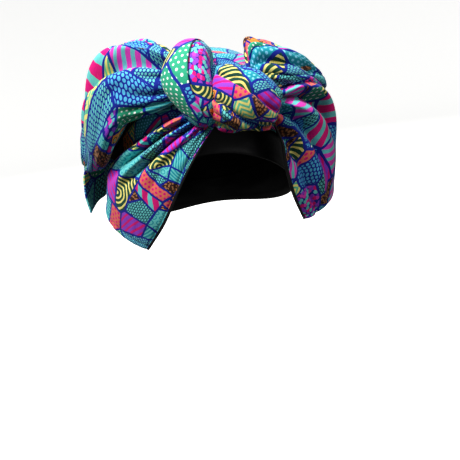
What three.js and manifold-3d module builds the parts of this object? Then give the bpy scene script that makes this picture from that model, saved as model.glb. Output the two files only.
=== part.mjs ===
// A head wrap tied at the front in a large bow: a cloth crown over a black satin band, a wound knot set to
// one side of the brow with a roll of cloth standing out of it, a hollow loop on each side, and lined tails
// that hang beside the face.
// Millimetres, +Z up. The wearer looks along -Y. The origin is the middle of the head opening, level with the
// front hairline.

import * as THREE from "three";
import { mergeVertices } from "three/addons/utils/BufferGeometryUtils.js";
import Module from "manifold-3d";

const wasm = await Module();
wasm.setup();

// Driving dimensions.
const clothThickness = 2.0; // printed cotton with its satin lining
const bandThickness = 1.4; // satin band, two layers
const seatGap = 0.5; // clearance between a piece and what carries it
const bandGap = 1.0; // clearance between the satin band and the crown
const cutThickness = clothThickness + 3 * seatGap; // room that a wall takes out of the cloth beside it

// The crown is a dome on an egg-shaped plan.
const crown = {
  halfBreadth: 80,
  frontReach: 92,
  backReach: 104,
  height: 79,
  fullness: 2.5, // power of the dome's profile: 2 is an ellipse
  rimFront: 14,
  rimSide: -34,
  rimBack: -76,
  napeTaper: 0.13, // share by which the dome narrows towards the nape
};

// Soft pleats of the crown, which run from low at the back to the knot in front.
const crownPleats = [
  { backHeight: -30, frontHeight: 18, depth: 2.6, wide: 9 },
  { backHeight: 0, frontHeight: 34, depth: 2.8, wide: 9 },
  { backHeight: 30, frontHeight: 50, depth: 2.4, wide: 9 },
];

// Reach of the satin band over the crown's rim, and under it in front, at the sides and behind.
const band = { above: 20, belowFront: 27, belowSide: 30, belowBack: 5 };

// The knot is wound cloth: sections from its left end to its right end. tall is the half height, deep the
// half depth.
const knot = {
  across: [0, -1, 0],
  sections: [
    { x: 10, y: -101, z: 37, tall: 23, deep: 15 },
    { x: 23, y: -105, z: 33, tall: 28, deep: 20 },
    { x: 40, y: -105, z: 29, tall: 29, deep: 22 },
    { x: 57, y: -101, z: 22, tall: 23, deep: 19 },
    { x: 69, y: -96, z: 17, tall: 16, deep: 13 },
  ],
  folds: [
    { from: 10, to: 75, depth: 3.0, wide: 15 },
    { from: 62, to: 128, depth: 2.4, wide: 14 },
    { from: -48, to: 10, depth: 2.6, wide: 15 },
  ],
};

// The roll stands out of the knot's left end, swells, and turns over to the back.
const roll = {
  across: [0.94, -0.34, 0],
  sections: [
    { x: 4, y: -104, z: 14, wide: 8, deep: 7 },
    { x: -2, y: -108, z: 32, wide: 15, deep: 12 },
    { x: -8, y: -106, z: 54, wide: 21, deep: 16 },
    { x: -3, y: -92, z: 73, wide: 17, deep: 14 },
    { x: 5, y: -74, z: 73, wide: 12, deep: 11 },
    { x: 8, y: -64, z: 62, wide: 9, deep: 9 },
  ],
  folds: [
    { from: 40, to: 70, depth: 4.0, wide: 18 },
    { from: 130, to: 110, depth: 2.2, wide: 16 },
  ],
};

// A loop is a hood open below. Its sections run from the knot to the far end. face is the bearing that the
// front looks at, lean tips the section, tall, low, front and back are the half sizes, and lip and tuck the
// bearings of its two edges.
const leftLoop = {
  fullness: 2.4,
  sections: [
    { x: -4, y: -86, z: 52, face: -6, lean: 0, tall: 15, low: 13, front: 10, back: 8, lip: -72, tuck: 176 },
    { x: -30, y: -79, z: 52, face: -14, lean: 0, tall: 38, low: 30, front: 24, back: 16, lip: -72, tuck: 172 },
    { x: -57, y: -65, z: 46, face: -28, lean: 2, tall: 50, low: 42, front: 31, back: 20, lip: -72, tuck: 166 },
    { x: -81, y: -48, z: 32, face: -44, lean: 2, tall: 53, low: 48, front: 30, back: 24, lip: -70, tuck: 160 },
    { x: -98, y: -34, z: 8, face: -56, lean: 2, tall: 42, low: 30, front: 20, back: 20, lip: -68, tuck: 165 },
    { x: -109, y: -28, z: -8, face: -62, lean: 4, tall: 17, low: 13, front: 9, back: 9, lip: -66, tuck: 174 },
    { x: -112, y: -26, z: -13, face: -64, lean: 4, tall: 4, low: 3, front: 3, back: 3, lip: -66, tuck: 176 },
  ],
  folds: [
    { from: 34, to: 30, depth: 9, wide: 15, start: 0.0, end: 0.86 },
    { from: -14, to: -22, depth: 3.5, wide: 13, start: 0.0, end: 0.55 },
    { from: 92, to: 84, depth: 4, wide: 16, start: 0.0, end: 0.6 },
  ],
};

const rightLoop = {
  fullness: 2.2,
  sections: [
    { x: 46, y: -84, z: 50, face: 8, lean: -8, tall: 20, low: 9, front: 9, back: 8, lip: -58, tuck: 180 },
    { x: 54, y: -79, z: 51, face: 14, lean: -10, tall: 33, low: 12, front: 18, back: 14, lip: -58, tuck: 178 },
    { x: 74, y: -70, z: 48, face: 26, lean: -4, tall: 29, low: 14, front: 22, back: 18, lip: -58, tuck: 175 },
    { x: 94, y: -56, z: 40, face: 42, lean: 0, tall: 24, low: 14, front: 18, back: 18, lip: -58, tuck: 172 },
    { x: 106, y: -46, z: 33, face: 52, lean: 0, tall: 14, low: 10, front: 10, back: 10, lip: -58, tuck: 174 },
    { x: 110, y: -42, z: 29, face: 56, lean: 0, tall: 4, low: 3, front: 3, back: 3, lip: -58, tuck: 176 },
  ],
  folds: [
    { from: 24, to: 18, depth: 5, wide: 15, start: 0.0, end: 0.8 },
    { from: 70, to: 66, depth: 3.5, wide: 15, start: 0.0, end: 0.6 },
  ],
};

// A tail is a lined flap between two edges. Its sections run from the knot to the hem: inner is the edge
// beside the face, outer the far edge, bow how far the cloth bulges between them, curl how far the outer edge
// turns back, drop how far the middle hangs below the edges.
const leftTail = {
  sections: [
    { innerX: 10, innerY: -102, innerZ: 12, outerX: 6, outerY: -102, outerZ: 33, bow: 2, curl: 0, drop: 0 },
    { innerX: -12, innerY: -99, innerZ: -15, outerX: -30, outerY: -88, outerZ: 28, bow: 5, curl: 4, drop: 0 },
    { innerX: -29, innerY: -91, innerZ: -41, outerX: -64, outerY: -70, outerZ: 14, bow: 8, curl: 8, drop: 0 },
    { innerX: -46, innerY: -76, innerZ: -70, outerX: -92, outerY: -46, outerZ: -10, bow: 10, curl: 10, drop: 3 },
    { innerX: -66, innerY: -54, innerZ: -96, outerX: -108, outerY: -22, outerZ: -44, bow: 8, curl: 14, drop: 14 },
  ],
  folds: [
    { from: 0.1, to: 0.22, depth: -5.5, wide: 0.15, start: 0.05, end: 0.66 },
    { from: 0.5, to: 0.55, depth: -6.5, wide: 0.14, start: 0.05, end: 0.74 },
    { from: 0.86, to: 0.84, depth: -5.5, wide: 0.14, start: 0.05, end: 0.78 },
  ],
};

const rightTail = {
  sections: [
    { innerX: 68, innerY: -97, innerZ: 8, outerX: 64, outerY: -92, outerZ: 38, bow: 2, curl: 0, drop: 0 },
    { innerX: 70, innerY: -91, innerZ: -12, outerX: 92, outerY: -74, outerZ: 45, bow: 6, curl: 8, drop: 0 },
    { innerX: 71, innerY: -83, innerZ: -37, outerX: 113, outerY: -55, outerZ: 29, bow: 11, curl: 14, drop: 0 },
    { innerX: 75, innerY: -70, innerZ: -63, outerX: 123, outerY: -46, outerZ: -10, bow: 11, curl: 20, drop: 2 },
    { innerX: 82, innerY: -54, innerZ: -88, outerX: 119, outerY: -40, outerZ: -52, bow: 7, curl: 16, drop: 6 },
  ],
  folds: [
    { from: 0.75, to: 0.8, depth: -6, wide: 0.16, start: 0.05, end: 0.8 },
    { from: 0.42, to: 0.5, depth: 7, wide: 0.13, start: 0.02, end: 0.8 },
    { from: 0.2, to: 0.25, depth: -6, wide: 0.15, start: 0.05, end: 0.85 },
    { from: -0.1, to: -0.02, depth: 6, wide: 0.14, start: 0.05, end: 0.8 },
  ],
};

const leftUnderTail = {
  sections: [
    { innerX: -106, innerY: -24, innerZ: -6, outerX: -79, outerY: -16, outerZ: 20, bow: 2, curl: 0, drop: 0 },
    { innerX: -118, innerY: -18, innerZ: -22, outerX: -90, outerY: 4, outerZ: 2, bow: 4, curl: 0, drop: 0 },
    { innerX: -121, innerY: -13, innerZ: -42, outerX: -98, outerY: 18, outerZ: -16, bow: 5, curl: 0, drop: 0 },
    { innerX: -119, innerY: -10, innerZ: -61, outerX: -103, outerY: 28, outerZ: -34, bow: 3, curl: 0, drop: 0 },
  ],
  folds: [{ from: 0.3, to: 0.2, depth: 3, wide: 0.3, start: 0.1, end: 1.4 }],
};

// Facets of each kind of piece.
const facets = {
  crown: { up: 9, round: 40 },
  band: { up: 2, round: 40 },
  knot: { along: 16, round: 22 },
  roll: { along: 18, round: 18 },
  loop: { along: 18, round: 20 },
  tail: { along: 15, across: 20 },
  underTail: { along: 8, across: 8 },
};

const degrees = Math.PI / 180;
const lerp = THREE.MathUtils.lerp;
const smooth = THREE.MathUtils.smoothstep;
const bell = (x) => Math.exp(-x * x);

// A table of rows read as one smooth curve: every column is a Catmull-Rom spline through its rows.
function along(rows, share) {
  const last = rows.length - 1;
  const start = THREE.MathUtils.clamp(Math.floor(share * last), 0, last - 1);
  const t = share * last - start;
  const row = (k) => rows[THREE.MathUtils.clamp(start + k, 0, last)];
  const blended = {};
  for (const column of Object.keys(rows[0])) {
    const [a, b, c, d] = [-1, 0, 1, 2].map((k) => row(k)[column]);
    blended[column] = b + 0.5 * t * (c - a + t * (2 * a - 5 * b + 4 * c - d + t * (3 * (b - c) + d - a)));
  }
  return blended;
}

// How deep the folds press in at a place across the cloth, for a share of the way along it.
function pressedIn(folds, place, share) {
  let depth = 0;
  for (const fold of folds) {
    const { from, to, wide, start = -0.2, end = 1.2 } = fold;
    const fade = smooth(share, start, start + 0.15) * (1 - smooth(share, end - 0.35, end));
    depth += fold.depth * fade * bell((place - lerp(from, to, share)) / wide);
  }
  return depth;
}

// Height of the crown's rim at a bearing from the front.
function rimHeight(bearing) {
  const c = Math.cos(bearing);
  const slope = (crown.rimFront - crown.rimBack) / 2;
  const dish = (crown.rimFront + crown.rimBack) / 2 - crown.rimSide;
  return crown.rimSide + slope * c + dish * c * c;
}

// A point of the crown's middle surface. share runs from the rim to the top, bearing round from the front.
function crownPoint(share, bearing, grow = 0) {
  const rise = Math.sin((share * Math.PI) / 2);
  const rim = rimHeight(bearing);
  const z = lerp(rim, crown.height + grow, rise);
  const inward = Math.pow(Math.max(0, 1 - Math.pow(rise, crown.fullness)), 1 / crown.fullness);
  const front = Math.cos(bearing);
  const nape = 1 - crown.napeTaper * smooth(-z, 10, -crown.rimBack) * smooth(-front, -0.6, 1);
  const reach = front > 0 ? crown.frontReach : crown.backReach;
  let swell = grow;
  for (const pleat of crownPleats) {
    const height = lerp(pleat.backHeight, pleat.frontHeight, (1 + front) / 2);
    const fade = smooth(1 - share, 0, 0.4) * smooth(z - rim, 24, 44);
    swell -= pleat.depth * bell((z - height) / pleat.wide) * fade;
  }
  const size = inward * nape;
  return new THREE.Vector3(
    (crown.halfBreadth + swell) * size * Math.sin(bearing),
    -(reach + swell) * size * front,
    z,
  );
}

// A point of the satin band: it lies inside the crown and hangs below its rim.
function bandPoint(share, turn) {
  const bearing = 2 * Math.PI * turn;
  const c = Math.cos(bearing);
  const below = lerp(band.belowSide, c > 0 ? band.belowFront : band.belowBack, c * c);
  const rim = rimHeight(bearing);
  const z = lerp(rim - below, rim + band.above, share);
  const rise = Math.max(0, z - rim) / (crown.height - rim);
  const inset = clothThickness / 2 + bandGap + bandThickness / 2;
  return crownPoint((2 / Math.PI) * Math.asin(rise), bearing, -inset).setZ(z);
}

// A point of a hollow loop: u from the knot to the far end, v from the front lip over the top to the back.
function loopPoint(loop, u, v) {
  const s = along(loop.sections, u);
  const angle = lerp(s.lip, s.tuck, v);
  const facing = s.face * degrees;
  const lean = s.lean * degrees;
  const front = new THREE.Vector3(Math.sin(facing), -Math.cos(facing), 0);
  const side = new THREE.Vector3(Math.cos(facing), Math.sin(facing), 0);
  const up = new THREE.Vector3(0, 0, Math.cos(lean)).addScaledVector(side, Math.sin(lean));
  const squared = (x) => Math.sign(x) * Math.pow(Math.abs(x), 2 / loop.fullness);
  const cos = squared(Math.cos(angle * degrees));
  const sin = squared(Math.sin(angle * degrees));
  const out = new THREE.Vector3()
    .addScaledVector(front, cos * (cos > 0 ? s.front : s.back))
    .addScaledVector(up, sin * (sin > 0 ? s.tall : s.low));
  const pressed = Math.min(pressedIn(loop.folds, angle, u), 0.45 * out.length());
  out.setLength(out.length() - pressed);
  return new THREE.Vector3(s.x, s.y, s.z).add(out);
}

// A point of a flap: u from the knot to the hem, v from the inner edge to the outer one.
function tailPoint(tail, u, v) {
  const s = along(tail.sections, u);
  const inner = new THREE.Vector3(s.innerX, s.innerY, s.innerZ);
  const outer = new THREE.Vector3(s.outerX, s.outerY, s.outerZ);
  const across = outer.clone().sub(inner);
  const next = along(tail.sections, Math.min(1, u + 0.02));
  const before = along(tail.sections, Math.max(0, u - 0.02));
  const middle = (r) => new THREE.Vector3(r.innerX + r.outerX, r.innerY + r.outerY, r.innerZ + r.outerZ);
  const down = middle(next).sub(middle(before)).normalize();
  const face = down.clone().cross(across).normalize();
  if (face.dot(new THREE.Vector3(inner.x + outer.x, inner.y + outer.y, 0)) < 0) face.negate();
  const place = 2 * v - 1;
  const bulge = s.bow * (1 - place * place) - pressedIn(tail.folds, place, u);
  const turned = s.curl * Math.pow(smooth(v, 0.6, 1.15), 2);
  inner.addScaledVector(across, v).addScaledVector(face, bulge - turned);
  return inner.addScaledVector(down, s.drop * (1 - place * place));
}

// Outward unit normal of a surface, by small differences.
function normalOf(point, u, v) {
  const step = 1e-3;
  const across = point(u, Math.min(1, v + step)).sub(point(u, Math.max(0, v - step)));
  const forward = point(Math.min(1, u + step), v).sub(point(Math.max(0, u - step), v));
  return across.cross(forward).normalize();
}

// A closed geometry from points and triangles, with coincident points joined and empty triangles left out.
function closedGeometry(points, triangles) {
  const loose = new THREE.BufferGeometry().setFromPoints(points);
  loose.setIndex(triangles.flat());
  const joined = mergeVertices(loose, 1e-3);
  const kept = [];
  for (let i = 0; i < joined.index.count; i += 3) {
    const corners = [0, 1, 2].map((k) => joined.index.getX(i + k));
    if (new Set(corners).size === 3) kept.push(...corners);
  }
  return joined.setIndex(kept);
}

// A cloth wall of even thickness on a surface point(u, v). A ring closes on itself along v, and an apex is
// the normal at the pole where a dome's last row comes together.
function clothWall(point, steps, thickness, { ring = false, apex = null } = {}) {
  const columns = ring ? steps.v : steps.v + 1;
  const points = [];
  for (const side of [0.5, -0.5]) {
    for (let i = 0; i <= steps.u; i++) {
      for (let j = 0; j < columns; j++) {
        const [u, v] = [i / steps.u, j / steps.v];
        const normal = apex && i === steps.u ? apex : normalOf(point, u, v);
        points.push(point(u, v).addScaledVector(normal, side * thickness));
      }
    }
  }
  const layer = (steps.u + 1) * columns;
  const at = (i, j, inside) => inside * layer + i * columns + (j % columns);
  const triangles = [];
  const quad = (a, b, c, d) => triangles.push([a, b, c], [a, c, d]);
  for (let i = 0; i < steps.u; i++) {
    for (let j = 0; j < steps.v; j++) {
      quad(at(i, j, 0), at(i, j + 1, 0), at(i + 1, j + 1, 0), at(i + 1, j, 0));
      quad(at(i, j, 1), at(i + 1, j, 1), at(i + 1, j + 1, 1), at(i, j + 1, 1));
    }
  }
  for (let j = 0; j < steps.v; j++) {
    quad(at(0, j, 0), at(0, j, 1), at(0, j + 1, 1), at(0, j + 1, 0));
    if (!apex) quad(at(steps.u, j, 0), at(steps.u, j + 1, 0), at(steps.u, j + 1, 1), at(steps.u, j, 1));
  }
  if (!ring) {
    for (let i = 0; i < steps.u; i++) {
      quad(at(i, 0, 0), at(i + 1, 0, 0), at(i + 1, 0, 1), at(i, 0, 1));
      quad(at(i, steps.v, 0), at(i, steps.v, 1), at(i + 1, steps.v, 1), at(i + 1, steps.v, 0));
    }
  }
  return closedGeometry(points, triangles);
}

// A solid body whose rings run from one closed end to the other.
function ringedSolid(point, steps, ends) {
  const points = [];
  for (let i = 0; i <= steps.u; i++) {
    for (let j = 0; j < steps.v; j++) points.push(point(i / steps.u, j / steps.v));
  }
  const at = (i, j) => i * steps.v + (j % steps.v);
  const first = points.push(ends[0]) - 1;
  const last = points.push(ends[1]) - 1;
  const triangles = [];
  for (let j = 0; j < steps.v; j++) {
    for (let i = 0; i < steps.u; i++) {
      triangles.push([at(i, j), at(i, j + 1), at(i + 1, j + 1)]);
      triangles.push([at(i, j), at(i + 1, j + 1), at(i + 1, j)]);
    }
    triangles.push([first, at(0, j + 1), at(0, j)], [last, at(steps.u, j), at(steps.u, j + 1)]);
  }
  return closedGeometry(points, triangles);
}

// Wound cloth: a swelling tube with folds, closed at both ends. grow makes it fatter.
function woundCloth(body, steps, grow = 0) {
  const across = new THREE.Vector3(...body.across).normalize();
  const middle = (u) => {
    const s = along(body.sections, u);
    return new THREE.Vector3(s.x, s.y, s.z);
  };
  const point = (u, v) => {
    const s = along(body.sections, u);
    const forward = middle(Math.min(1, u + 0.01)).sub(middle(Math.max(0, u - 0.01)));
    const side = forward.clone().cross(across).normalize();
    const angle = 2 * Math.PI * v;
    const bearing = ((v * 360 + 180) % 360) - 180;
    const wide = s.wide ?? s.deep;
    const deep = s.wide ? s.deep : s.tall;
    const out = across.clone().multiplyScalar(wide * Math.cos(angle));
    out.addScaledVector(side, deep * Math.sin(angle));
    out.setLength(out.length() - pressedIn(body.folds, bearing, u) + grow);
    return middle(u).add(out).addScaledVector(forward.normalize(), grow * (2 * u - 1));
  };
  const tip = (u, sign) => {
    const lead = middle(1).sub(middle(0)).setLength(sign * (3 + grow));
    return middle(u).add(lead);
  };
  return ringedSolid(point, steps, [tip(0, -1), tip(1, 1)]);
}

// The crown's outside as one filled body, for cutting what lies against it.
function crownCore(grow) {
  const steps = { u: facets.crown.up, v: facets.crown.round };
  const out = clothThickness / 2 + grow;
  const point = (u, v) => crownPoint(0.999 * u, 2 * Math.PI * v, out);
  const top = new THREE.Vector3(0, 0, crown.height + out);
  return ringedSolid(point, steps, [new THREE.Vector3(0, 0, crown.rimSide), top]);
}

function toSolid(geometry) {
  const triVerts = new Uint32Array(geometry.index.array);
  const vertProperties = geometry.attributes.position.array;
  return new wasm.Manifold(new wasm.Mesh({ numProp: 3, vertProperties, triVerts }));
}

function toGeometry(solid) {
  const made = solid.getMesh();
  const geometry = new THREE.BufferGeometry();
  geometry.setAttribute("position", new THREE.BufferAttribute(new Float32Array(made.vertProperties), 3));
  geometry.setIndex(new THREE.BufferAttribute(new Uint32Array(made.triVerts), 1));
  return geometry;
}

// What is left of a piece once its neighbours are cut away: its largest body.
function trimmed(geometry, neighbours) {
  let solid = toSolid(geometry);
  for (const neighbour of neighbours) solid = solid.subtract(toSolid(neighbour));
  const bodies = solid.decompose().sort((a, b) => b.volume() - a.volume());
  return toGeometry(bodies[0]);
}

const print = new THREE.MeshStandardMaterial({ name: "printed_cotton", color: 0x2a7fa0, roughness: 0.75 });
const satin = new THREE.MeshStandardMaterial({ name: "black_satin", color: 0x0b0b0e, roughness: 0.4 });

const wrap = new THREE.Group();
wrap.name = "head_wrap";

function place(name, geometry, material) {
  const mesh = new THREE.Mesh(geometry, material);
  mesh.name = name;
  mesh.geometry.computeVertexNormals();
  wrap.add(mesh);
}

const loopSteps = { u: facets.loop.along, v: facets.loop.round };
const tailSteps = { u: facets.tail.along, v: facets.tail.across };
const underTailSteps = { u: facets.underTail.along, v: facets.underTail.across };
const knotSteps = { u: facets.knot.along, v: facets.knot.round };
const rollSteps = { u: facets.roll.along, v: facets.roll.round };

const coreCut = crownCore(seatGap);
const knotCut = woundCloth(knot, knotSteps, seatGap);
const rollCut = woundCloth(roll, rollSteps, seatGap);

const crownWall = clothWall(
  (u, v) => crownPoint(u, 2 * Math.PI * v),
  { u: facets.crown.up, v: facets.crown.round },
  clothThickness,
  { ring: true, apex: new THREE.Vector3(0, 0, 1) },
);
place("crown", crownWall, print);

place("knot", trimmed(woundCloth(knot, knotSteps), [coreCut]), print);
place("knot_roll", trimmed(woundCloth(roll, rollSteps), [coreCut, knotCut]), print);

const bandSteps = { u: facets.band.up, v: facets.band.round };
place("inner_band", clothWall(bandPoint, bandSteps, bandThickness, { ring: true }), satin);

// The walls of the loops and tails. A cut is the same wall, thicker and a little past its edges.
const past = (share, reach) => lerp(-reach, 1 + reach, share);
const loopWall = (loop, turn) =>
  clothWall((u, v) => loopPoint(loop, turn ? 1 - u : u, v), loopSteps, clothThickness);
const loopCut = (loop, turn) =>
  clothWall((u, v) => loopPoint(loop, past(turn ? 1 - u : u, 0.01), past(v, 0.012)), loopSteps, cutThickness);
const tailWall = (tail, steps, turn) =>
  clothWall((u, v) => tailPoint(tail, u, turn ? 1 - v : v), steps, clothThickness);
const tailCut = (tail, steps, turn) =>
  clothWall((u, v) => tailPoint(tail, past(u, 0.01), past(turn ? 1 - v : v, 0.012)), steps, cutThickness);

const wound = [coreCut, knotCut, rollCut];
const leftLoopCut = loopCut(leftLoop, false);
const rightLoopCut = loopCut(rightLoop, true);
const leftTailCut = tailCut(leftTail, tailSteps, true);

place("left_loop", trimmed(loopWall(leftLoop, false), wound), print);
place("right_loop", trimmed(loopWall(rightLoop, true), wound), print);
place("left_tail", trimmed(tailWall(leftTail, tailSteps, true), [...wound, leftLoopCut]), print);
place("right_tail", trimmed(tailWall(rightTail, tailSteps, false), [...wound, rightLoopCut]), print);
place(
  "left_under_tail",
  trimmed(tailWall(leftUnderTail, underTailSteps, true), [coreCut, leftLoopCut, leftTailCut]),
  print,
);

export default wrap;
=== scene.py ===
import math

import bmesh
import bpy
from mathutils import Matrix, Vector, noise


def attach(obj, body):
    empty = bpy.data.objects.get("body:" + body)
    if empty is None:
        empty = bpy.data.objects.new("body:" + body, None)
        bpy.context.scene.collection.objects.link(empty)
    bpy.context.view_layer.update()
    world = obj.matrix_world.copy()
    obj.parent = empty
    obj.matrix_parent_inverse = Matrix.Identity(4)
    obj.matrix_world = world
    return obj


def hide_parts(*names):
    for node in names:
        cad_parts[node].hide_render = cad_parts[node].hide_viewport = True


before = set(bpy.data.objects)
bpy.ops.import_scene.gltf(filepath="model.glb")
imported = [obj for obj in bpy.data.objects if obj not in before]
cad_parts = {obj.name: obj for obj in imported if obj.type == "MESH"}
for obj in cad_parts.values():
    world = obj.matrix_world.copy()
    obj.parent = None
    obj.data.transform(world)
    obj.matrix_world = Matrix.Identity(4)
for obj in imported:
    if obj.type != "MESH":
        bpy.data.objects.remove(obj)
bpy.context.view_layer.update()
mm = 0.001
fullTurn = 6.283  # for the shader nodes, which count in radians
print("frame:", ", ".join(sorted(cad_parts)))


def lerp(a, b, t):
    return a + (b - a) * t


def smooth(x, low, high):
    t = min(1.0, max(0.0, (x - low) / (high - low)))
    return t * t * (3 - 2 * t)


def bell(x):
    return math.exp(-x * x)


# round ridges with sharp valleys, as gathered cloth has
def puff(x):
    return abs(math.sin(math.pi * x)) - 0.64


def drift(x, y, seed):
    return noise.noise(Vector((x, y, seed)))


# thin lines that wander and branch, 1 on the line and 0 away from it
def creaseLines(x, y, seed, sharp=3.4):
    return (1 - min(1.0, abs(drift(x, y, seed)) * sharp)) ** 2


# every column of a table of sections is a smooth curve through its rows
def along(rows, share):
    last = len(rows) - 1
    start = min(max(int(math.floor(share * last)), 0), last - 1)
    t = share * last - start
    near = [rows[min(max(start + k, 0), last)] for k in (-1, 0, 1, 2)]
    blended = []
    for a, b, c, d in zip(*near):
        bend = 2 * a - 5 * b + 4 * c - d + t * (3 * (b - c) + d - a)
        blended.append(b + 0.5 * t * (c - a + t * bend))
    return blended


# folds are rows of (place at the knot, place at the far end, depth, width, start, end)
def pressedIn(folds, place, share):
    depth = 0.0
    for first, last, deep, wide, start, end in folds:
        fade = smooth(share, start, start + 0.15) * (1 - smooth(share, end - 0.35, end))
        depth += deep * fade * bell((place - lerp(first, last, share)) / wide)
    return depth


# materials


def newMaterial(name):
    material = bpy.data.materials.new(name)
    material.use_nodes = True
    tree = material.node_tree
    return material, tree, tree.nodes["Principled BSDF"]


class Wiring:
    def __init__(self, tree):
        self.tree = tree

    def feed(self, socket, value):
        if isinstance(value, bpy.types.NodeSocket):
            self.tree.links.new(value, socket)
        else:
            socket.default_value = value

    def maths(self, operation, a, b=0.0, c=0.0):
        node = self.tree.nodes.new("ShaderNodeMath")
        node.operation = operation
        for socket, value in zip(node.inputs, (a, b, c)):
            self.feed(socket, value)
        return node.outputs[0]

    def squaresOf(self, x, y):
        return self.maths("ADD", self.maths("MULTIPLY", x, x), self.maths("MULTIPLY", y, y))

    # how far (x, y) lies along the bearing
    def alongBearing(self, x, y, bearing):
        across = self.maths("MULTIPLY", x, self.maths("COSINE", bearing))
        return self.maths("ADD", across, self.maths("MULTIPLY", y, self.maths("SINE", bearing)))

    def vector(self, x, y, z=0.0):
        node = self.tree.nodes.new("ShaderNodeCombineXYZ")
        for socket, value in zip(node.inputs, (x, y, z)):
            self.feed(socket, value)
        return node.outputs[0]

    def parts(self, vector):
        node = self.tree.nodes.new("ShaderNodeSeparateXYZ")
        self.feed(node.inputs[0], vector)
        return node.outputs

    def mix(self, factor, a, b):
        node = self.tree.nodes.new("ShaderNodeMix")
        node.data_type = "RGBA"
        self.feed(node.inputs[0], factor)
        self.feed(node.inputs[6], a)
        self.feed(node.inputs[7], b)
        return node.outputs[2]

    def noise(self, vector, scale, detail=2.0):
        node = self.tree.nodes.new("ShaderNodeTexNoise")
        node.noise_dimensions = "2D"
        self.feed(node.inputs["Vector"], vector)
        node.inputs["Scale"].default_value = scale
        node.inputs["Detail"].default_value = detail
        return node

    def voronoi(self, vector, feature, randomness=1.0):
        node = self.tree.nodes.new("ShaderNodeTexVoronoi")
        node.voronoi_dimensions = "2D"
        node.feature = feature
        self.feed(node.inputs["Vector"], vector)
        node.inputs["Scale"].default_value = 1.0
        node.inputs["Randomness"].default_value = randomness
        return node

    def chance(self, vector):
        node = self.tree.nodes.new("ShaderNodeTexWhiteNoise")
        node.noise_dimensions = "3D"
        self.feed(node.inputs["Vector"], vector)
        return node


inks = {
    "royalBlue": (0.008, 0.020, 0.260, 1),
    "aqua": (0.150, 0.560, 0.540, 1),
    "paleBlue": (0.230, 0.600, 0.760, 1),
    "skyBlue": (0.090, 0.420, 0.640, 1),
    "teal": (0.015, 0.290, 0.360, 1),
    "deepTeal": (0.003, 0.050, 0.090, 1),
    "magenta": (0.680, 0.008, 0.200, 1),
    "pink": (0.700, 0.060, 0.460, 1),
    "violet": (0.300, 0.060, 0.560, 1),
    "salmon": (0.700, 0.170, 0.120, 1),
    "orange": (0.820, 0.270, 0.050, 1),
    "yellow": (0.800, 0.700, 0.220, 1),
    "mint": (0.130, 0.480, 0.300, 1),
    "green": (0.030, 0.330, 0.190, 1),
    "forest": (0.010, 0.070, 0.045, 1),
    "brown": (0.050, 0.016, 0.012, 1),
    "tan": (0.420, 0.190, 0.080, 1),
    "white": (0.850, 0.850, 0.820, 1),
}

# patch is the usual size of one patch, outline half the width of the blue line round it, all in mm
printedCotton = {
    "patch": 31.0,
    "outline": 1.0,
    "scatter": 0.92,
    "cutOnce": 0.85,  # share of the patches that are cut in two
    "cutTwice": 0.7,
    "wobble": 0.12,
    "uneven": 0.5,
    "roughness": 0.72,
    "sheen": 0.12,
    "sheenRoughness": 0.45,
    "specular": 0.25,
    "weave": 0.55,
    "bump": 0.25,
    "bumpHeight": 0.0012,
}

# how far each motif is from one repeat to the next, in mm
motifStep = {
    "broadStripe": 9.5, "scale": 3.3, "ring": 7.0, "dot": 3.9, "waveStripe": 3.1, "confetti": 3.2,
    "zigzag": 13.0, "zigzagStripe": 5.0, "spot": 3.4, "arc": 4.0, "stripe": 6.0, "sideScale": 3.5,
    "smallScale": 3.0, "fleck": 2.6, "halo": 6.2, "slimStripe": 5.2, "bead": 4.0,
}


def stripes(w, x, period, one, two, share=0.5):
    step = w.maths("LESS_THAN", w.maths("FRACT", w.maths("DIVIDE", x, period)), share)
    return w.mix(step, inks[two], inks[one])


# distance from the middle of the nearest place in a staggered field, in steps of period
def field(w, x, y, period, squash=1.0):
    row = w.maths("DIVIDE", y, period * squash)
    shift = w.maths("MULTIPLY", w.maths("FLOORED_MODULO", w.maths("FLOOR", row), 2.0), 0.5)
    column = w.maths("ADD", w.maths("DIVIDE", x, period), shift)
    across = w.maths("SUBTRACT", w.maths("FRACT", column), 0.5)
    upward = w.maths("SUBTRACT", w.maths("FRACT", row), 0.5)
    return w.maths("SQRT", w.squaresOf(across, upward))


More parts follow.
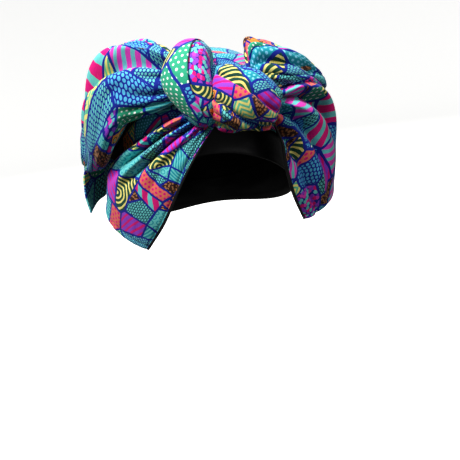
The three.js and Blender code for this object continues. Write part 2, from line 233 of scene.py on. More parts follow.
def motifList(w, x, y):
    step = motifStep
    made = []
    made.append(stripes(w, x, step["broadStripe"], "magenta", "aqua", 0.55))
    scale = field(w, x, y, step["scale"], 0.62)
    made.append(w.mix(w.maths("LESS_THAN", scale, 0.4), inks["deepTeal"], inks["aqua"]))
    ring = field(w, x, y, step["ring"])
    rings = w.mix(w.maths("LESS_THAN", ring, 0.33), inks["orange"], inks["brown"])
    rings = w.mix(w.maths("LESS_THAN", ring, 0.22), rings, inks["orange"])
    made.append(w.mix(w.maths("LESS_THAN", ring, 0.13), rings, inks["green"]))
    dot = field(w, x, y, step["dot"])
    made.append(w.mix(w.maths("LESS_THAN", dot, 0.21), inks["green"], inks["white"]))
    wave = w.maths("SINE", w.maths("DIVIDE", y, 7.0))
    made.append(stripes(w, w.maths("ADD", x, wave), step["waveStripe"], "teal", "aqua"))
    grains = w.vector(w.maths("DIVIDE", x, step["confetti"]), w.maths("DIVIDE", y, step["confetti"]))
    scatter = w.voronoi(grains, "F1", 0.8)
    hue = w.parts(scatter.outputs["Color"])[0]
    confetti = w.mix(w.maths("GREATER_THAN", hue, 0.3), inks["magenta"], inks["violet"])
    confetti = w.mix(w.maths("GREATER_THAN", hue, 0.5), confetti, inks["aqua"])
    confetti = w.mix(w.maths("GREATER_THAN", hue, 0.78), confetti, inks["pink"])
    between = w.maths("GREATER_THAN", scatter.outputs["Distance"], 0.55)
    made.append(w.mix(between, confetti, inks["royalBlue"]))
    column = w.maths("FRACT", w.maths("DIVIDE", x, step["zigzag"]))
    zig = w.maths("MULTIPLY", w.maths("ABSOLUTE", w.maths("SUBTRACT", column, 0.5)), 14.0)
    made.append(stripes(w, w.maths("ADD", y, zig), step["zigzagStripe"], "yellow", "mint"))
    spot = field(w, x, y, step["spot"])
    made.append(w.mix(w.maths("LESS_THAN", spot, 0.28), inks["teal"], inks["paleBlue"]))
    # arcs about a corner of the patch
    reach = w.maths("SQRT", w.squaresOf(w.maths("ADD", x, 9.0), w.maths("ADD", y, 8.0)))
    made.append(stripes(w, reach, step["arc"], "yellow", "forest", 0.4))
    made.append(stripes(w, y, step["stripe"], "pink", "aqua", 0.55))
    sideScale = field(w, y, x, step["sideScale"], 0.7)
    made.append(w.mix(w.maths("LESS_THAN", sideScale, 0.39), inks["royalBlue"], inks["skyBlue"]))
    smallScale = field(w, x, y, step["smallScale"], 0.6)
    made.append(w.mix(w.maths("LESS_THAN", smallScale, 0.4), inks["royalBlue"], inks["aqua"]))
    grains = w.vector(w.maths("DIVIDE", x, step["fleck"]), w.maths("DIVIDE", y, step["fleck"]))
    flecks = w.voronoi(grains, "F1")
    made.append(w.mix(w.maths("LESS_THAN", flecks.outputs["Distance"], 0.34), inks["brown"], inks["tan"]))
    halo = field(w, x, y, step["halo"])
    halos = w.mix(w.maths("LESS_THAN", halo, 0.4), inks["aqua"], inks["teal"])
    made.append(w.mix(w.maths("LESS_THAN", halo, 0.26), halos, inks["aqua"]))
    made.append(stripes(w, y, step["slimStripe"], "violet", "magenta", 0.6))
    bead = field(w, y, x, step["bead"])
    made.append(w.mix(w.maths("LESS_THAN", bead, 0.3), inks["salmon"], inks["magenta"]))
    return made


def makePrint():
    want = printedCotton
    material, tree, shader = newMaterial("printedCotton")
    w = Wiring(tree)
    cloth = tree.nodes.new("ShaderNodeUVMap")
    cloth.uv_map = "cloth"
    x, y = w.parts(cloth.outputs[0])[:2]
    cell = want["patch"] * mm
    px = w.maths("DIVIDE", x, cell)
    py = w.maths("DIVIDE", y, cell)
    sway = w.noise(w.vector(px, py), 1.6)
    pull = w.parts(sway.outputs["Color"])
    px = w.maths("ADD", px, w.maths("MULTIPLY", w.maths("SUBTRACT", pull[0], 0.5), want["wobble"]))
    py = w.maths("ADD", py, w.maths("MULTIPLY", w.maths("SUBTRACT", pull[1], 0.5), want["wobble"]))
    place = w.vector(px, py)
    patch = w.voronoi(place, "F1", want["scatter"])
    edge = w.voronoi(place, "DISTANCE_TO_EDGE", want["scatter"])
    cx, cy = w.parts(patch.outputs["Position"])[:2]
    dx = w.maths("SUBTRACT", px, cx)
    dy = w.maths("SUBTRACT", py, cy)
    tone = w.parts(patch.outputs["Color"])
    # most patches are cut in two by one more straight line
    turn = w.maths("MULTIPLY", tone[0], fullTurn)
    aside = w.maths("MULTIPLY", w.maths("SUBTRACT", tone[1], 0.5), 0.4)
    cut = w.maths("ADD", w.alongBearing(dx, dy, turn), aside)
    isCut = w.maths("LESS_THAN", tone[2], want["cutOnce"])
    half = w.maths("MULTIPLY", w.maths("GREATER_THAN", cut, 0.0), isCut)
    # and many of these a second time, at a slant to the first
    slant = w.maths("ADD", turn, w.maths("ADD", 1.1, w.maths("MULTIPLY", half, 0.7)))
    aside = w.maths("MULTIPLY", w.maths("SUBTRACT", tone[2], 0.3), 0.5)
    second = w.maths("SUBTRACT", w.alongBearing(dx, dy, slant), aside)
    thisHalf = w.maths("GREATER_THAN", w.maths("ADD", half, tone[0]), 0.55)
    isTwice = w.maths("MULTIPLY", w.maths("LESS_THAN", tone[2], want["cutTwice"]), thisHalf)
    quarter = w.maths("MULTIPLY", w.maths("GREATER_THAN", second, 0.0), isTwice)
    pick = w.chance(w.vector(cx, cy, w.maths("ADD", half, w.maths("MULTIPLY", quarter, 2.0))))
    draw = w.parts(pick.outputs["Color"])
    # the motif is drawn on its own axes inside its patch
    spin = w.maths("MULTIPLY", draw[1], fullTurn)
    cos = w.maths("COSINE", spin)
    sin = w.maths("SINE", spin)
    mx = w.maths("SUBTRACT", w.maths("MULTIPLY", dx, cos), w.maths("MULTIPLY", dy, sin))
    my = w.maths("ADD", w.maths("MULTIPLY", dx, sin), w.maths("MULTIPLY", dy, cos))
    mx = w.maths("MULTIPLY", mx, want["patch"])
    my = w.maths("MULTIPLY", my, want["patch"])
    motifs = motifList(w, mx, my)
    colour = motifs[0]
    for k, motif in enumerate(motifs[1:], 1):
        colour = w.mix(w.maths("GREATER_THAN", draw[0], k / len(motifs)), colour, motif)
    # a little of each ink's unevenness
    uneven = w.noise(cloth.outputs[0], 900.0, 3.0)
    shade = tree.nodes.new("ShaderNodeMix")
    shade.data_type = "RGBA"
    shade.blend_type = "MULTIPLY"
    shade.inputs[0].default_value = want["uneven"]
    w.feed(shade.inputs[6], colour)
    w.feed(shade.inputs[7], w.mix(uneven.outputs["Fac"], (0.55, 0.55, 0.6, 1), (1.25, 1.25, 1.2, 1)))
    line = want["outline"] / want["patch"]
    nearCut = w.maths("MULTIPLY", w.maths("LESS_THAN", w.maths("ABSOLUTE", cut), line), isCut)
    nearSecond = w.maths("MULTIPLY", w.maths("LESS_THAN", w.maths("ABSOLUTE", second), line), isTwice)
    nearCut = w.maths("MAXIMUM", nearCut, nearSecond)
    onLine = w.maths("MAXIMUM", w.maths("LESS_THAN", edge.outputs["Distance"], line), nearCut)
    final = w.mix(onLine, shade.outputs[2], inks["royalBlue"])
    w.feed(shader.inputs["Base Color"], final)
    # plain weave and soft crumples
    thread = want["weave"] * mm
    warp = w.maths("SINE", w.maths("DIVIDE", x, thread / fullTurn))
    weft = w.maths("SINE", w.maths("DIVIDE", y, thread / fullTurn))
    weave = w.maths("MULTIPLY", warp, weft)
    crumple = w.noise(cloth.outputs[0], 110.0, 3.0)
    height = w.maths("ADD", w.maths("MULTIPLY", weave, 0.06), crumple.outputs["Fac"])
    bump = tree.nodes.new("ShaderNodeBump")
    bump.inputs["Strength"].default_value = want["bump"]
    bump.inputs["Distance"].default_value = want["bumpHeight"]
    w.feed(bump.inputs["Height"], height)
    w.feed(shader.inputs["Normal"], bump.outputs[0])
    rough = w.maths("ADD", want["roughness"], w.maths("MULTIPLY", crumple.outputs["Fac"], 0.12))
    w.feed(shader.inputs["Roughness"], rough)
    shader.inputs["Sheen Weight"].default_value = want["sheen"]
    shader.inputs["Sheen Roughness"].default_value = want["sheenRoughness"]
    shader.inputs["Specular IOR Level"].default_value = want["specular"]
    return material


blackSatin = {
    "dark": (0.006, 0.006, 0.008, 1), "light": (0.018, 0.017, 0.017, 1), "roughness": 0.34,
    "specular": 0.45, "weave": 0.4, "bump": 0.12, "bumpHeight": 0.001,
}


def makeSatin():
    want = blackSatin
    material, tree, shader = newMaterial("blackSatin")
    w = Wiring(tree)
    cloth = tree.nodes.new("ShaderNodeUVMap")
    cloth.uv_map = "cloth"
    x = w.parts(cloth.outputs[0])[0]
    soft = w.noise(cloth.outputs[0], 90.0, 3.0)
    threads = w.maths("SINE", w.maths("DIVIDE", x, want["weave"] * mm / fullTurn))
    bump = tree.nodes.new("ShaderNodeBump")
    bump.inputs["Strength"].default_value = want["bump"]
    bump.inputs["Distance"].default_value = want["bumpHeight"]
    w.feed(bump.inputs["Height"], w.maths("ADD", w.maths("MULTIPLY", threads, 0.05), soft.outputs["Fac"]))
    w.feed(shader.inputs["Normal"], bump.outputs[0])
    w.feed(shader.inputs["Base Color"], w.mix(soft.outputs["Fac"], want["dark"], want["light"]))
    rough = w.maths("ADD", want["roughness"], w.maths("MULTIPLY", soft.outputs["Fac"], 0.16))
    w.feed(shader.inputs["Roughness"], rough)
    shader.inputs["Specular IOR Level"].default_value = want["specular"]
    return material


printMaterial = makePrint()
satinMaterial = makeSatin()
print("materials made")


# cloth

# surface(u, v) gives a place in mm, lay(u, v, middle of the face) the same place on the flat cloth in mm,
# ripple(u, v) how far the cloth stands off the surface in mm
def clothPiece(
    name, surface, steps, lay, ripple, ring=False, flip=False, thick=1.6, plain=None, lined=True, easing=3,
):
    bm = bmesh.new()
    bmesh.ops.create_grid(bm, x_segments=steps[0], y_segments=steps[1], size=1.0, calc_uvs=True)
    onCloth = bm.loops.layers.uv.verify()
    atU = bm.verts.layers.float.new("atU")
    atV = bm.verts.layers.float.new("atV")
    for vert in bm.verts:
        vert[atU] = min(1.0, max(0.0, (vert.co.x + 1) / 2))
        vert[atV] = min(1.0, max(0.0, (vert.co.y + 1) / 2))
    for face in bm.faces:
        middle = [sum(loop.vert[at] for loop in face.loops) / 4 for at in (atU, atV)]
        if plain and plain(*middle):
            face.material_index = 1
        for loop in face.loops:
            spot = lay(loop.vert[atU], loop.vert[atV], middle)
            loop[onCloth].uv = (spot[0] * mm, spot[1] * mm)
    for vert in bm.verts:
        vert.co = surface(vert[atU], vert[atV]) * mm
    if ring:
        bmesh.ops.remove_doubles(bm, verts=bm.verts[:], dist=1e-6)
    if flip:
        bmesh.ops.reverse_faces(bm, faces=bm.faces[:])
    bm.normal_update()
    for vert in bm.verts:
        vert.co += vert.normal * ripple(vert[atU], vert[atV]) * mm
    # the tightest corners are eased, so that the lining stays behind the print
    inside = [vert for vert in bm.verts if not vert.is_boundary]
    for k in range(easing):
        bmesh.ops.smooth_vert(
            bm, verts=inside, factor=0.5, use_axis_x=True, use_axis_y=True, use_axis_z=True,
        )
    for face in bm.faces:
        face.smooth = True
    mesh = bpy.data.meshes.new(name)
    bm.verts.layers.float.remove(bm.verts.layers.float["atU"])
    bm.verts.layers.float.remove(bm.verts.layers.float["atV"])
    bm.to_mesh(mesh)
    area = sum(face.calc_area() for face in bm.faces)
    bm.free()
    mesh.uv_layers[0].name = "cloth"
    mesh.materials.append(printMaterial)
    mesh.materials.append(satinMaterial)
    piece = bpy.data.objects.new(name, mesh)
    bpy.context.scene.collection.objects.link(piece)
    wall = piece.modifiers.new("wall", "SOLIDIFY")
    wall.thickness = thick * mm
    wall.offset = 0.0
    wall.use_even_offset = False
    if lined:
        wall.material_offset = 1
        wall.material_offset_rim = 1
    print(f"{name}: {len(mesh.polygons)} faces, {area * 1e4:.0f} square cm of cloth")
    return piece


# lay is the cloth's width and length, then where it lies in the print, in mm
def laidFlat(k):
    wide, tall, left, foot = k["lay"]
    return lambda u, v, middle: (u * wide + left, v * tall + foot)


def fit(piece, node):
    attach(piece, "root")
    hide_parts(node)


# crown and band

crownCloth = {
    "halfBreadth": 80, "frontReach": 92, "backReach": 104, "height": 79, "fullness": 2.5,
    "rimFront": 14, "rimSide": -34, "rimBack": -76, "napeTaper": 0.13,
    "overlaps": (0.20, 0.36, 0.52, 0.66),  # where one wind of the cloth lies over the next
    "overlapDepth": 2.4, "steps": (110, 220),
}
innerBand = {
    "above": 20, "belowFront": 27, "belowSide": 30, "belowBack": 5, "inset": 2.7, "thick": 1.2,
    "wide": 48, "round": 540, "steps": (24, 200),
}


def rimHeight(bearing):
    c = math.cos(bearing)
    k = crownCloth
    slope = (k["rimFront"] - k["rimBack"]) / 2
    dish = (k["rimFront"] + k["rimBack"]) / 2 - k["rimSide"]
    return k["rimSide"] + slope * c + dish * c * c


def crownPoint(share, bearing, grow=0.0):
    k = crownCloth
    rise = math.sin(share * math.pi / 2)
    z = lerp(rimHeight(bearing), k["height"] + grow, rise)
    inward = max(0.0, 1 - rise ** k["fullness"]) ** (1 / k["fullness"])
    c = math.cos(bearing)
    nape = 1 - k["napeTaper"] * smooth(-z, 10, -k["rimBack"]) * smooth(-c, -0.6, 1)
    reach = k["frontReach"] if c > 0 else k["backReach"]
    size = inward * nape
    return Vector(((k["halfBreadth"] + grow) * size * math.sin(bearing), -(reach + grow) * size * c, z))


# each wind of the cloth swells towards its upper edge, then drops to the wind beneath it
def crownRipple(share, turn):
    k = crownCloth
    bearing = 2 * math.pi * turn
    sway = 0.022 * math.sin(bearing + 0.6) + 0.014 * math.sin(2 * bearing + 1.9)
    sway += 0.008 * math.sin(5 * bearing)
    lift = 0.0
    for edge in k["overlaps"]:
        at = edge + sway
        swell = smooth(share, at - 0.13, at - 0.012) - smooth(share, at - 0.008, at + 0.008)
        lift += k["overlapDepth"] * swell
    rings = (math.cos(bearing) * 3, math.sin(bearing) * 3)
    soft = 0.9 * noise.noise(Vector((rings[0], rings[1], share * 9)))
    soft += 0.5 * noise.noise(Vector((rings[0] * 2.5, rings[1] * 2.5, share * 26 + 7)))
    calm = smooth(share, 0.0, 0.08) * (1 - 0.6 * smooth(share, 0.85, 1.0))
    return (lift - 1.4 + soft) * calm


def layCrown(share, turn, middle):
    bearing = 2 * math.pi * turn
    if middle[0] < crownCloth["overlaps"][-1]:
        winds = sum(1 for edge in crownCloth["overlaps"] if middle[0] > edge)
        return turn * 560 + winds * 137, share * 150 + winds * 61
    spot = crownPoint(share, bearing)
    return spot.x * 1.15 + 900, spot.y * 1.15 + 40


crown = clothPiece(
    "crownCloth",
    lambda u, v: crownPoint(u, 2 * math.pi * v),
    crownCloth["steps"], layCrown, crownRipple, ring=True, flip=True,
)
fit(crown, "crown")


def bandPoint(share, turn):
    k = innerBand
    bearing = 2 * math.pi * turn
    c = math.cos(bearing)
    below = lerp(k["belowSide"], k["belowFront"] if c > 0 else k["belowBack"], c * c)
    rim = rimHeight(bearing)
    z = lerp(rim - below, rim + k["above"], share)
    rise = max(0.0, z - rim) / (crownCloth["height"] - rim)
    spot = crownPoint(math.asin(rise) * 2 / math.pi, bearing, -k["inset"])
    spot.z = z
    return spot


def bandRipple(share, turn):
    bearing = 2 * math.pi * turn
    hem = -0.5 * bell((share - 0.13) / 0.02)
    return hem + 0.35 * noise.noise(Vector((math.cos(bearing) * 6, math.sin(bearing) * 6, share * 3)))


band = clothPiece(
    "innerBandSatin", bandPoint, innerBand["steps"],
    lambda u, v, middle: (v * innerBand["round"], u * innerBand["wide"]), bandRipple,
    ring=True, flip=True, thick=innerBand["thick"], plain=lambda u, v: True, lined=False,
)
fit(band, "inner_band")


# knot and roll: cloth wound on itself

knotCloth = {
    "across": (0, -1, 0),
    # x, y, z, half height, half depth, from the left end to the right end
    "sections": (
        (10, -101, 38, 22, 15), (22, -105, 35, 26, 19), (38, -105, 31, 27, 20),
        (54, -101, 24, 22, 18), (66, -96, 19, 16, 13),
    ),
    "folds": (
        (-2, 78, 3.4, 8, -0.2, 1.3), (58, 140, 3.0, 8, -0.2, 1.3),
        (-58, 16, 3.2, 8, -0.2, 1.3), (-110, -30, 2.4, 9, -0.2, 1.3),
    ),
    "laps": ((3, 83, 3.4, 52), (63, 145, 3.2, 60), (-53, 21, 3.4, 52), (-105, -25, 2.6, 48)),
    "steps": (110, 260), "start": -150, "turns": 1.08, "easing": 1,
    "lay": (72, 185, 310, 220), "windTurn": 0.5, "windShift": (61, 47),
}
rollCloth = {
    "across": (0.94, -0.34, 0),
    # x, y, z, half depth, half width, from the knot over the top to the back
    "sections": (
        (4, -104, 14, 7, 8), (-2, -108, 32, 13, 17), (-9, -106, 54, 16, 22),
        (-3, -92, 73, 14, 17), (5, -74, 73, 11, 12), (8, -64, 62, 9, 9),
    ),
    "folds": ((150, 130, 1.6, 16, -0.2, 1.2),),
    "laps": (),
    "steps": (120, 170), "start": -70, "turns": 1.2, "easing": 1, "lay": (125, 118, 40, 610),
}


# laps are rows of (place at one end, place at the other, height, reach), where a wind ends on top of another
def lappedOver(laps, place, share):
    height = 0.0
    for first, last, tall, reach in laps:
        past = (place - lerp(first, last, share) + 180) % 360 - 180
        height += tall * smooth(past, -2.5, 2.5) * (1 - smooth(past, 0, reach))
    return height


def woundPoint(k, u, v, direction):
    x, y, z, tall, deep = along(k["sections"], u)
    ahead = along(k["sections"], min(1.0, u + 0.01))
    behind = along(k["sections"], max(0.0, u - 0.01))
    forward = Vector(ahead[:3]) - Vector(behind[:3])
    across = Vector(k["across"]).normalized()
    side = forward.cross(across).normalized()
    bearing = k["start"] + direction * v * 360 * k["turns"]
    angle = math.radians(bearing)
    out = across * (deep * math.cos(angle)) + side * (tall * math.sin(angle))
    wrapped = (bearing + 180) % 360 - 180
    length = out.length - pressedIn(k["folds"], wrapped, u) + lappedOver(k["laps"], wrapped, u)
    layer = 3.2 * smooth(v, 1 / k["turns"] - 0.35, 1.0)
    ends = smooth(u, -0.02, 0.07) * smooth(1 - u, -0.02, 0.07)
    out *= max(0.1, (length - layer) / out.length) * lerp(0.45, 1.0, ends)
    return Vector((x, y, z)) + out


# each wind of the knot shows another part of the cloth, turned a little
def layKnot(u, v, middle):
    k = knotCloth
    bearing = (k["start"] + middle[1] * 360 * k["turns"] + 180) % 360 - 180
    wind = sum(1 for lap in k["laps"] if bearing > lerp(lap[0], lap[1], middle[0]))
    turn = wind * k["windTurn"]
    wide, tall, left, foot = k["lay"]
    x, y = u * wide, v * tall
    across = x * math.cos(turn) - y * math.sin(turn)
    upward = x * math.sin(turn) + y * math.cos(turn)
    return across + left + wind * k["windShift"][0], upward + foot + wind * k["windShift"][1]


def knotRipple(u, v):
    gather = smooth(abs(u - 0.5), 0.22, 0.5)
    lines = puff(v * 11 + 1.6 * drift(u * 2, v * 6, 3.1)) * 1.4 * gather
    soft = 0.8 * drift(u * 3 + v * 5, v * 9, 8.4) + 0.4 * drift(u * 9, v * 20, 2.2)
    soft -= 2.6 * creaseLines(u * 1.6 - v * 2.5, v * 5, 4.6)
    return lines + soft


def rollRipple(u, v):
    soft = 0.8 * drift(u * 5, v * 6, 5.7) + 0.4 * drift(u * 14, v * 9, 1.2)
    gather = 1 - smooth(u, 0.05, 0.4)
    return soft + puff(v * 12 + drift(u * 3, v * 4, 6.0)) * 1.3 * gather


knot = clothPiece(
    "knotCloth", lambda u, v: woundPoint(knotCloth, u, v, 1), knotCloth["steps"], layKnot, knotRipple,
    flip=True, lined=False, easing=knotCloth["easing"],
)
fit(knot, "knot")
roll = clothPiece(
    "rollCloth", lambda u, v: woundPoint(rollCloth, u, v, -1), rollCloth["steps"],
    laidFlat(rollCloth), rollRipple, lined=False, easing=rollCloth["easing"],
)
fit(roll, "knot_roll")


# loops of the bow

# sections: x, y, z, face, lean, tall, low, front, back, lip, tuck, from the knot to the far end
leftLoopCloth = {
    "fullness": 2.4,
    "sections": (
        (-4, -86, 52, -6, 0, 15, 13, 10, 8, -40, 190), (-30, -79, 52, -14, 0, 38, 30, 24, 16, -30, 215),
        (-57, -65, 46, -28, 2, 50, 42, 31, 20, -24, 238), (-79, -48, 31, -44, 2, 51, 47, 29, 24, -50, 240),
        (-97, -34, 6, -56, 2, 37, 28, 18, 20, -66, 225), (-109, -28, -8, -62, 4, 17, 13, 9, 9, -66, 174),
        (-112, -26, -13, -64, 4, 4, 3, 3, 3, -66, 176),
    ),
    "folds": (
        (30, 36, 15, 7, -0.2, 0.74), (46, 58, -4, 10, 0.0, 0.7), (10, 12, -4, 13, 0.0, 0.75),
        (92, 84, 5, 10, 0.0, 0.6), (128, 120, 3, 12, 0.0, 0.7),
    ),
    "under": 64, "shrink": 0.62, "rounded": 0.05,
    "gathers": 16, "gatherDepth": 4.2, "gatherReach": 0.55, "steps": (150, 220), "seed": 4.0,
    "creases": 5.5, "creaseNear": 5.0, "creaseFar": 3.2, "deepest": 4.4, "easing": 6,
    "lay": (165, 235, 120, 900),
}
rightLoopCloth = {
    "fullness": 2.2,
    "sections": (
        (46, -84, 50, 8, -8, 20, 9, 9, 8, -58, 180), (54, -79, 51, 14, -10, 33, 12, 18, 14, -58, 178),
        (74, -70, 48, 26, -4, 26, 14, 22, 18, -58, 175), (94, -56, 40, 42, 0, 18, 14, 18, 18, -58, 172),
        (106, -46, 33, 52, 0, 10, 10, 10, 10, -58, 174), (110, -42, 29, 56, 0, 4, 3, 3, 3, -58, 176),
    ),
    "folds": ((24, 18, 7, 10, 0.0, 0.85), (70, 66, 4.5, 10, 0.0, 0.7)),
    "under": 25, "shrink": 0.3, "rounded": 0.13,
    "gathers": 9, "gatherDepth": 3.6, "gatherReach": 0.7, "steps": (110, 150), "seed": 9.0,
    "creases": 4.0, "creaseNear": 4.5, "creaseFar": 2.6, "deepest": 5.0, "easing": 3,
    "lay": (100, 130, 520, 1200),
}


def loopPoint(k, u, v):
    x, y, z, face, lean, tall, low, front, back, lip, tuck = along(k["sections"], u)
    angle = lerp(lip - k["under"], tuck, v)
    turned = 1 - k["shrink"] * smooth(lip - angle, 0, k["under"])
    facing = math.radians(face)
    tip = math.radians(lean)
    ahead = Vector((math.sin(facing), -math.cos(facing), 0))
    side = Vector((math.cos(facing), math.sin(facing), 0))
    up = Vector((0, 0, math.cos(tip))) + side * math.sin(tip)
    c = math.cos(math.radians(angle))
    s = math.sin(math.radians(angle))
    c = math.copysign(abs(c) ** (2 / k["fullness"]), c)
    s = math.copysign(abs(s) ** (2 / k["fullness"]), s)
    out = ahead * (c * (front if c > 0 else back)) + up * (s * (tall if s > 0 else low))
    pressed = min(pressedIn(k["folds"], angle, u), 0.45 * out.length)
    near = 1 - min(1.0, u / k["rounded"])
    turned *= max(0.12, math.sqrt(1 - near * near))
    return Vector((x, y, z)) + out * (turned * (1 - pressed / out.length))


def loopRipple(k, u, v):
    seed = k["seed"]
    gather = (1 - smooth(u, 0.03, k["gatherReach"])) * smooth(u, 0.0, 0.1)
    lines = puff(v * k["gathers"] + 1.1 * drift(u * 2.2, v * 3, seed)) * k["gatherDepth"] * gather
    soft = 1.5 * drift(u * 2.4, v * 5, seed + 2) + 0.7 * drift(u * 6, v * 13, seed + 5)
    fine = 0.35 * drift(u * 16, v * 22, seed + 9)
    deep = lerp(k["creaseNear"], k["creaseFar"], smooth(u, 0.1, 0.7))
    creases = -deep * creaseLines(u * 1.5, v * k["creases"], seed + 12)
    creases -= 0.5 * deep * creaseLines(u * 3 + 4, v * 1.9 * k["creases"], seed + 15)
    return max(-k["deepest"], lines + (soft + fine + creases) * (1 - smooth(u, 0.82, 1.0)))


leftLoop = clothPiece(
    "leftLoopCloth", lambda u, v: loopPoint(leftLoopCloth, u, v), leftLoopCloth["steps"],
    laidFlat(leftLoopCloth), lambda u, v: loopRipple(leftLoopCloth, u, v), flip=True,
    easing=leftLoopCloth["easing"],
)
fit(leftLoop, "left_loop")
rightLoop = clothPiece(
    "rightLoopCloth", lambda u, v: loopPoint(rightLoopCloth, u, v), rightLoopCloth["steps"],
    laidFlat(rightLoopCloth), lambda u, v: loopRipple(rightLoopCloth, u, v), easing=rightLoopCloth["easing"],
)
fit(rightLoop, "right_loop")


# tails

# sections: inner x, y, z, outer x, y, z, bow, curl, drop, from the knot to the hem
leftTailCloth = {
    "sections": (
        (10, -102, 12, 4, -104, 31, 2, 0, 0), (-12, -99, -15, -30, -90, 20, 5, 4, 0),
        (-29, -91, -41, -64, -71, 3, 8, 8, 0), (-46, -76, -70, -94, -45, -17, 10, 10, 3),
        (-66, -54, -96, -106, -22, -48, 8, 14, 5),
    ),
    "folds": (
        (0.86, 0.98, -6.0, 0.1, 0.05, 0.85), (0.62, 0.76, 10.0, 0.09, 0.07, 0.85),
        (0.38, 0.56, -6.0, 0.1, 0.05, 0.85), (0.14, 0.34, 9.0, 0.09, 0.07, 0.8),
        (-0.15, 0.08, -3.5, 0.2, 0.05, 0.75),
    ),
    # faces along the inner edge, within this share of the width, take the black satin
    "steps": (150, 130), "seed": 13.0, "easing": 3, "blackEdge": 0.03, "lay": (160, 75, 700, 330),
}
rightTailCloth = {
    "sections": (
        (60, -95, 15, 60, -91, 38, 2, 0, 0), (65, -92, -11, 96, -71, 50, 6, 8, 0),
        (66, -84, -36, 116, -54, 33, 11, 14, 0), (70, -72, -62, 123, -46, -10, 11, 20, 2),
        (78, -56, -87, 116, -41, -53, 7, 16, 6),
    ),
    "folds": (
        (0.75, 1.6, -5, 0.1, 0.05, 0.9), (0.5, 1.35, 9, 0.09, 0.04, 0.9),
        (0.28, 1.1, -7, 0.11, 0.05, 0.9), (0.0, 0.85, 14, 0.12, 0.06, 0.85),
        (-0.28, 0.55, -6, 0.13, 0.05, 0.85), (-0.55, 0.2, 9.5, 0.1, 0.04, 0.95),
        (-0.72, -0.1, -3.5, 0.12, 0.05, 1.1), (-0.9, -0.45, 5.5, 0.1, 0.05, 1.15),
    ),
    # faces along the inner edge, within this share of the width, take the black satin
    "steps": (150, 120), "seed": 17.0, "easing": 6, "blackEdge": 0.03, "lay": (130, 80, 260, 60),
}
underTailCloth = {
    "sections": (
        (-106, -24, -6, -66, -12, 33, 2, 0, 0), (-118, -18, -22, -76, 15, 14, 4, 0, 0),
        (-121, -13, -42, -85, 31, -14, 5, 0, 0), (-119, -10, -61, -93, 42, -37, 3, 0, 0),
    ),
    "folds": ((0.1, 0.0, 3, 0.2, 0.1, 1.4),),
    "steps": (80, 70), "seed": 21.0, "calm": 0.5, "lay": (66, 46, 80, 480),
}


def tailPoint(k, u, v):
    row = along(k["sections"], u)
    inner = Vector(row[0:3])
    outer = Vector(row[3:6])
    bow, curl, drop = row[6:9]
    ahead = along(k["sections"], min(1.0, u + 0.02))
    behind = along(k["sections"], max(0.0, u - 0.02))
    across = outer - inner
    down = Vector(ahead[0:3]) + Vector(ahead[3:6]) - Vector(behind[0:3]) - Vector(behind[3:6])
    down.normalize()
    face = down.cross(across).normalized()
    middle = inner + outer
    if face.x * middle.x + face.y * middle.y < 0:
        face = -face
    place = 2 * v - 1
    bulge = bow * (1 - place * place) - pressedIn(k["folds"], place, u)
    turned = curl * smooth(v, 0.6, 1.15) ** 2
    return inner + across * v + face * (bulge - turned) + down * (drop * (1 - place * place))


def tailRipple(k, u, v):
    seed = k["seed"]
    gather = (1 - smooth(u, 0.04, 0.45)) * smooth(u, -0.05, 0.05)
    lines = puff(v * 8 + 0.9 * drift(u * 2, v * 3, seed)) * 1.8 * gather
    soft = 1.3 * drift(u * 3, v * 4, seed + 3) + 0.5 * drift(u * 8, v * 9, seed + 6)
    soft -= lerp(2.0, 0.3, smooth(u, 0.15, 0.7)) * creaseLines(u * 1.3, v * 3.4, seed + 11)
    hem = -0.8 * (bell((u - 0.955) / 0.006) + bell((v - 0.045) / 0.008) + bell((v - 0.955) / 0.008))
    return max(-2.4, lines + soft) + hem


leftTail = clothPiece(
    "leftTailCloth", lambda u, v: tailPoint(leftTailCloth, u, v), leftTailCloth["steps"],
    laidFlat(leftTailCloth), lambda u, v: tailRipple(leftTailCloth, u, v), flip=True,
    plain=lambda u, v: v < leftTailCloth["blackEdge"], easing=leftTailCloth["easing"],
)
fit(leftTail, "left_tail")
rightTail = clothPiece(
    "rightTailCloth", lambda u, v: tailPoint(rightTailCloth, u, v), rightTailCloth["steps"],
    laidFlat(rightTailCloth), lambda u, v: tailRipple(rightTailCloth, u, v),
    plain=lambda u, v: v < rightTailCloth["blackEdge"], easing=rightTailCloth["easing"],
)
fit(rightTail, "right_tail")
underTail = clothPiece(
    "leftUnderTailCloth", lambda u, v: tailPoint(underTailCloth, u, v), underTailCloth["steps"],
    laidFlat(underTailCloth), lambda u, v: tailRipple(underTailCloth, u, v) * underTailCloth["calm"],
    lined=False,
)
fit(underTail, "left_under_tail")


# stage, light and camera

stageCup = {
    "floor": -0.20, "radius": 2.0, "fillet": 0.9, "wall": 2.2, "facets": 12,
    "dark": (0.86, 0.86, 0.85, 1), "light": (0.90, 0.90, 0.89, 1), "glow": 0.44,
}


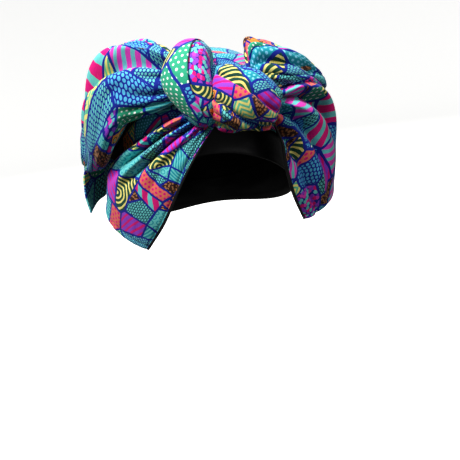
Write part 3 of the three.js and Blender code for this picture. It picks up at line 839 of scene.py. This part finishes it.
def makeStage():
    k = stageCup
    bm = bmesh.new()
    line = [Vector((0, 0, k["floor"])), Vector((k["radius"], 0, k["floor"]))]
    for step in range(1, k["facets"] + 1):
        a = math.radians(90 * step / k["facets"])
        out = k["radius"] + k["fillet"] * math.sin(a)
        line.append(Vector((out, 0, k["floor"] + k["fillet"] * (1 - math.cos(a)))))
    line.append(Vector((k["radius"] + k["fillet"], 0, k["floor"] + k["fillet"] + k["wall"])))
    verts = [bm.verts.new(co) for co in line]
    edges = [bm.edges.new(pair) for pair in zip(verts, verts[1:])]
    bmesh.ops.spin(
        bm, geom=verts + edges, cent=(0, 0, 0), axis=(0, 0, 1), angle=2 * math.pi, steps=64, use_merge=True,
    )
    bmesh.ops.remove_doubles(bm, verts=bm.verts[:], dist=1e-5)
    bmesh.ops.recalc_face_normals(bm, faces=bm.faces[:])
    for face in bm.faces:
        face.smooth = True
    mesh = bpy.data.meshes.new("paleStage")
    bm.to_mesh(mesh)
    bm.free()
    material, tree, shader = newMaterial("palePaper")
    w = Wiring(tree)
    where = tree.nodes.new("ShaderNodeTexCoord")
    grain = w.noise(where.outputs["Object"], 60.0, 3.0)
    w.feed(shader.inputs["Base Color"], w.mix(grain.outputs["Fac"], k["dark"], k["light"]))
    shader.inputs["Roughness"].default_value = 0.9
    shader.inputs["Emission Color"].default_value = (1.0, 1.0, 0.99, 1)
    shader.inputs["Emission Strength"].default_value = k["glow"]
    mesh.materials.append(material)
    stage = bpy.data.objects.new("paleStage", mesh)
    bpy.context.scene.collection.objects.link(stage)
    stage.visible_diffuse = False  # the stage stays bright without lighting the cloth from below
    stage.visible_glossy = False


makeStage()

softLights = {
    "key": {"at": (-0.66, -0.95, 1.30), "size": 0.7, "watts": 46},
    "fill": {"at": (1.15, -1.05, 0.85), "size": 0.9, "watts": 9},
    "top": {"at": (0.1, 0.55, 1.35), "size": 0.9, "watts": 16},
}
for name, k in softLights.items():
    lamp = bpy.data.lights.new(name, "AREA")
    lamp.shape = "DISK"
    lamp.size = k["size"]
    lamp.energy = k["watts"]
    light = bpy.data.objects.new(name, lamp)
    light.location = k["at"]
    light.rotation_euler = (-Vector(k["at"])).to_track_quat("-Z", "Y").to_euler()
    bpy.context.scene.collection.objects.link(light)

softRoom = {"colour": (1.0, 1.0, 1.0, 1), "strength": 0.12}
world = bpy.data.worlds.new("softRoom")
world.use_nodes = True
background = world.node_tree.nodes["Background"]
background.inputs["Color"].default_value = softRoom["colour"]
background.inputs["Strength"].default_value = softRoom["strength"]
bpy.context.scene.world = world
bpy.context.scene.view_settings.view_transform = "Standard"
bpy.context.scene.view_settings.look = "Medium High Contrast"

# the camera looks down a little on the knot, and is rolled so that the wrap sits tipped
photoView = {
    "target": (0.010, -0.095, -0.081), "away": 0.950, "down": 10.0, "roll": 8.0,
    "lens": 84.48, "sensor": 36.0,
}


def makeCamera():
    k = photoView
    e = math.radians(k["down"])
    r = math.radians(k["roll"])
    look = Vector((0, math.cos(e), -math.sin(e)))
    level = Vector((1, 0, 0))
    upright = Vector((0, math.sin(e), math.cos(e)))
    right = level * math.cos(r) - upright * math.sin(r)
    up = level * math.sin(r) + upright * math.cos(r)
    where = Vector(k["target"]) - look * k["away"]
    lens = bpy.data.cameras.new("camera")
    lens.sensor_width = k["sensor"]
    lens.lens = k["lens"]
    camera = bpy.data.objects.new("camera", lens)
    turned = Matrix((right, up, -look)).transposed().to_4x4()
    camera.matrix_world = Matrix.Translation(where) @ turned
    bpy.context.scene.collection.objects.link(camera)
    bpy.context.scene.camera = camera


makeCamera()
print("stage, light and camera set")


bpy.context.view_layer.update()
